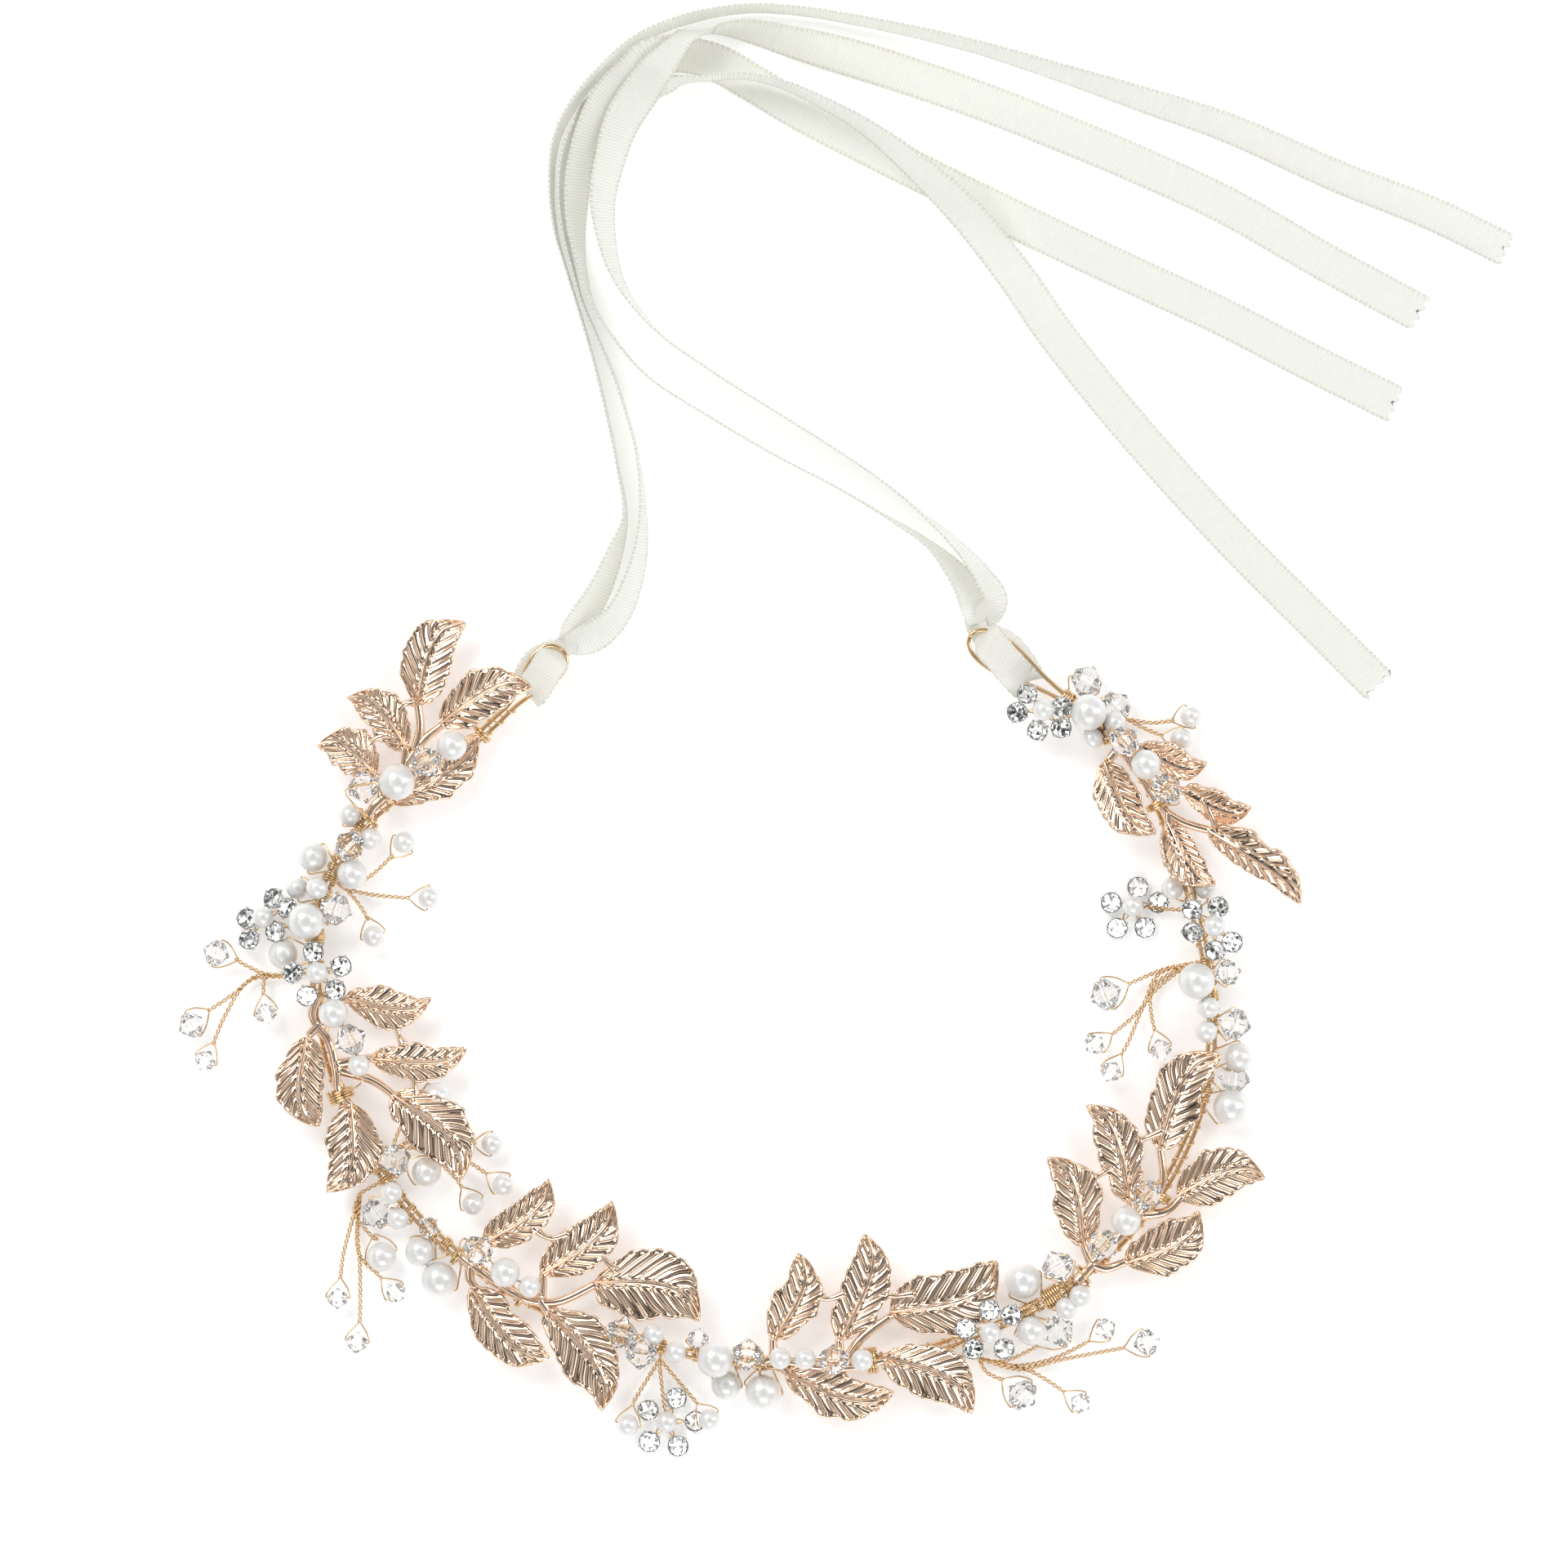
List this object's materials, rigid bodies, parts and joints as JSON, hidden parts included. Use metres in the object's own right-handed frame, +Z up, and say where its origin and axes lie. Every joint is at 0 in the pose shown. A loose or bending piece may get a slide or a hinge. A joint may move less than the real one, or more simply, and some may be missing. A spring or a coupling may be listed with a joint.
{
  "type": "bridal hair vine",
  "caption": "Flexible open-ring bridal tiara: gold wire band with leaf sprays, pearls, clear beads, rhinestone flowers and satin ribbon ties.",
  "frame": {"origin": "centre of the vine's outline, ribbons left out, at the height of the surface it lies on", "axes": "+Z up from the surface; +X towards the end with the wider flower; +Y towards the gap of the ring and the ribbon tails"},
  "size_m": [0.2416, 0.263, 0.0122],
  "materials": {
    "rose_gold": "polished cast, plated rose gold",
    "gold_wire": "polished drawn wire",
    "pearl": "pearl lustre",
    "crystal": "cut and polished",
    "rhinestone": "foil-backed glass in bright metal cups",
    "twig_beads": "twisted polished wire with small beads",
    "satin_ribbon": "soft satin with picot edges"
  },
  "bodies": {
    "band": {"core_wire": "gold_wire", "leaf_spray_left_end": "rose_gold", "leaf_spray_left": "rose_gold", "leaf_spray_front_left": "rose_gold", "leaf_spray_front_right": "rose_gold", "leaf_spray_right": "rose_gold", "leaf_spray_right_end": "rose_gold", "spray_tie_left_end": "gold_wire", "spray_tie_left": "gold_wire", "spray_tie_front_left": "gold_wire", "spray_tie_front_right": "gold_wire", "spray_tie_right": "gold_wire", "spray_tie_right_end": "gold_wire", "flower_left_outer": "rhinestone", "flower_left": "rhinestone", "flower_front_right": "rhinestone", "flower_right_inner": "rhinestone", "flower_right": "rhinestone", "flower_right_end": "rhinestone", "flower_front_with_pearls": "rhinestone", "twig_left_inner": "twig_beads", "twig_left_outer": "twig_beads", "twig_left_lower": "twig_beads", "twig_under_leaf": "twig_beads", "twig_front_lower": "twig_beads", "twig_right_inner": "twig_beads", "twig_right_end": "twig_beads", "bead_strand_left_upper": "pearl", "bead_strand_left_lower": "pearl", "bead_strand_front": "pearl", "bead_strand_front_right": "pearl", "bead_strand_right": "pearl", "bead_strand_right_end": "pearl", "end_tie_right": "gold_wire", "ribbon_hitch_left": "satin_ribbon", "ribbon_hitch_right": "satin_ribbon", "ribbon_tail_outer": "satin_ribbon", "ribbon_tail_crossing": "satin_ribbon", "ribbon_tail_lower": "satin_ribbon", "ribbon_tail_inner": "satin_ribbon"},
    "bead_left_end_1": {"spray_bead_left_end_1": "crystal"},
    "bead_left_end_2": {"spray_bead_left_end_2": "pearl"},
    "bead_left_end_3": {"spray_bead_left_end_3": "crystal"},
    "bead_left_end_4": {"spray_bead_left_end_4": "pearl"},
    "bead_left_1": {"spray_bead_left_1": "pearl"},
    "bead_left_2": {"spray_bead_left_2": "crystal"},
    "bead_left_3": {"spray_bead_left_3": "pearl"},
    "bead_front_left_1": {"spray_bead_front_left_1": "crystal"},
    "bead_front_left_2": {"spray_bead_front_left_2": "pearl"},
    "bead_front_left_3": {"spray_bead_front_left_3": "pearl"},
    "bead_front_right_1": {"spray_bead_front_right_1": "pearl"},
    "bead_front_right_2": {"spray_bead_front_right_2": "pearl"},
    "bead_front_right_3": {"spray_bead_front_right_3": "crystal"},
    "bead_front_right_4": {"spray_bead_front_right_4": "pearl"},
    "bead_right_1": {"spray_bead_right_1": "crystal"},
    "bead_right_2": {"spray_bead_right_2": "pearl"},
    "bead_right_3": {"spray_bead_right_3": "crystal"},
    "bead_right_end_1": {"spray_bead_right_end_1": "crystal"},
    "bead_right_end_2": {"spray_bead_right_end_2": "pearl"},
    "bead_right_end_3": {"spray_bead_right_end_3": "crystal"}
  },
  "joints": [
    {"name": "bead_left_end_1_spin", "type": "hinge", "parent": "band", "child": "bead_left_end_1", "pos_m": [-0.0675, 0.0455, 0.009], "axis": [0.9864, 0.1644, 0], "continuous": true},
    {"name": "bead_left_end_2_spin", "type": "hinge", "parent": "band", "child": "bead_left_end_2", "pos_m": [-0.0615, 0.0465, 0.009], "axis": [0.9238, 0.3828, 0], "continuous": true},
    {"name": "bead_left_end_3_spin", "type": "hinge", "parent": "band", "child": "bead_left_end_3", "pos_m": [-0.0564, 0.0501, 0.009], "axis": [0.8359, 0.5488, 0], "continuous": true},
    {"name": "bead_left_end_4_spin", "type": "hinge", "parent": "band", "child": "bead_left_end_4", "pos_m": [-0.0516, 0.053, 0.009], "axis": [0.8559, 0.5171, 0], "continuous": true},
    {"name": "bead_left_1_spin", "type": "hinge", "parent": "band", "child": "bead_left_1", "pos_m": [-0.073, 0.0047, 0.009], "axis": [0.5506, -0.8348, 0], "continuous": true},
    {"name": "bead_left_2_spin", "type": "hinge", "parent": "band", "child": "bead_left_2", "pos_m": [-0.0699, 0, 0.009], "axis": [0.4396, -0.8982, 0], "continuous": true},
    {"name": "bead_left_3_spin", "type": "hinge", "parent": "band", "child": "bead_left_3", "pos_m": [-0.0684, -0.0047, 0.009], "axis": [0.304, -0.9527, 0], "continuous": true},
    {"name": "bead_front_left_1_spin", "type": "hinge", "parent": "band", "child": "bead_front_left_1", "pos_m": [-0.0468, -0.038, 0.009], "axis": [0.7682, -0.6402, 0], "continuous": true},
    {"name": "bead_front_left_2_spin", "type": "hinge", "parent": "band", "child": "bead_front_left_2", "pos_m": [-0.042, -0.042, 0.009], "axis": [0.8125, -0.5829, 0], "continuous": true},
    {"name": "bead_front_left_3_spin", "type": "hinge", "parent": "band", "child": "bead_front_left_3", "pos_m": [-0.0376, -0.0446, 0.009], "axis": [0.8609, -0.5087, 0], "continuous": true},
    {"name": "bead_front_right_1_spin", "type": "hinge", "parent": "band", "child": "bead_front_right_1", "pos_m": [0.0076, -0.0575, 0.009], "axis": [0.9998, -0.0222, 0], "continuous": true},
    {"name": "bead_front_right_2_spin", "type": "hinge", "parent": "band", "child": "bead_front_right_2", "pos_m": [0.0121, -0.0576, 0.009], "axis": [0.9998, -0.0208, 0], "continuous": true},
    {"name": "bead_front_right_3_spin", "type": "hinge", "parent": "band", "child": "bead_front_right_3", "pos_m": [0.0172, -0.0577, 0.009], "axis": [0.9998, -0.0194, 0], "continuous": true},
    {"name": "bead_front_right_4_spin", "type": "hinge", "parent": "band", "child": "bead_front_right_4", "pos_m": [0.0224, -0.0578, 0.009], "axis": [0.9998, -0.0192, 0], "continuous": true},
    {"name": "bead_right_1_spin", "type": "hinge", "parent": "band", "child": "bead_right_1", "pos_m": [0.066, -0.037, 0.009], "axis": [0.6811, 0.7322, 0], "continuous": true},
    {"name": "bead_right_2_spin", "type": "hinge", "parent": "band", "child": "bead_right_2", "pos_m": [0.07, -0.0327, 0.009], "axis": [0.6549, 0.7557, 0], "continuous": true},
    {"name": "bead_right_3_spin", "type": "hinge", "parent": "band", "child": "bead_right_3", "pos_m": [0.0738, -0.028, 0.009], "axis": [0.6287, 0.7776, 0], "continuous": true},
    {"name": "bead_right_end_1_spin", "type": "hinge", "parent": "band", "child": "bead_right_end_1", "pos_m": [0.0696, 0.0538, 0.009], "axis": [0.6897, -0.7241, 0], "continuous": true},
    {"name": "bead_right_end_2_spin", "type": "hinge", "parent": "band", "child": "bead_right_end_2", "pos_m": [0.0736, 0.0496, 0.009], "axis": [0.6718, -0.7407, 0], "continuous": true},
    {"name": "bead_right_end_3_spin", "type": "hinge", "parent": "band", "child": "bead_right_end_3", "pos_m": [0.0774, 0.0452, 0.009], "axis": [0.6536, -0.7568, 0], "continuous": true}
  ]
}
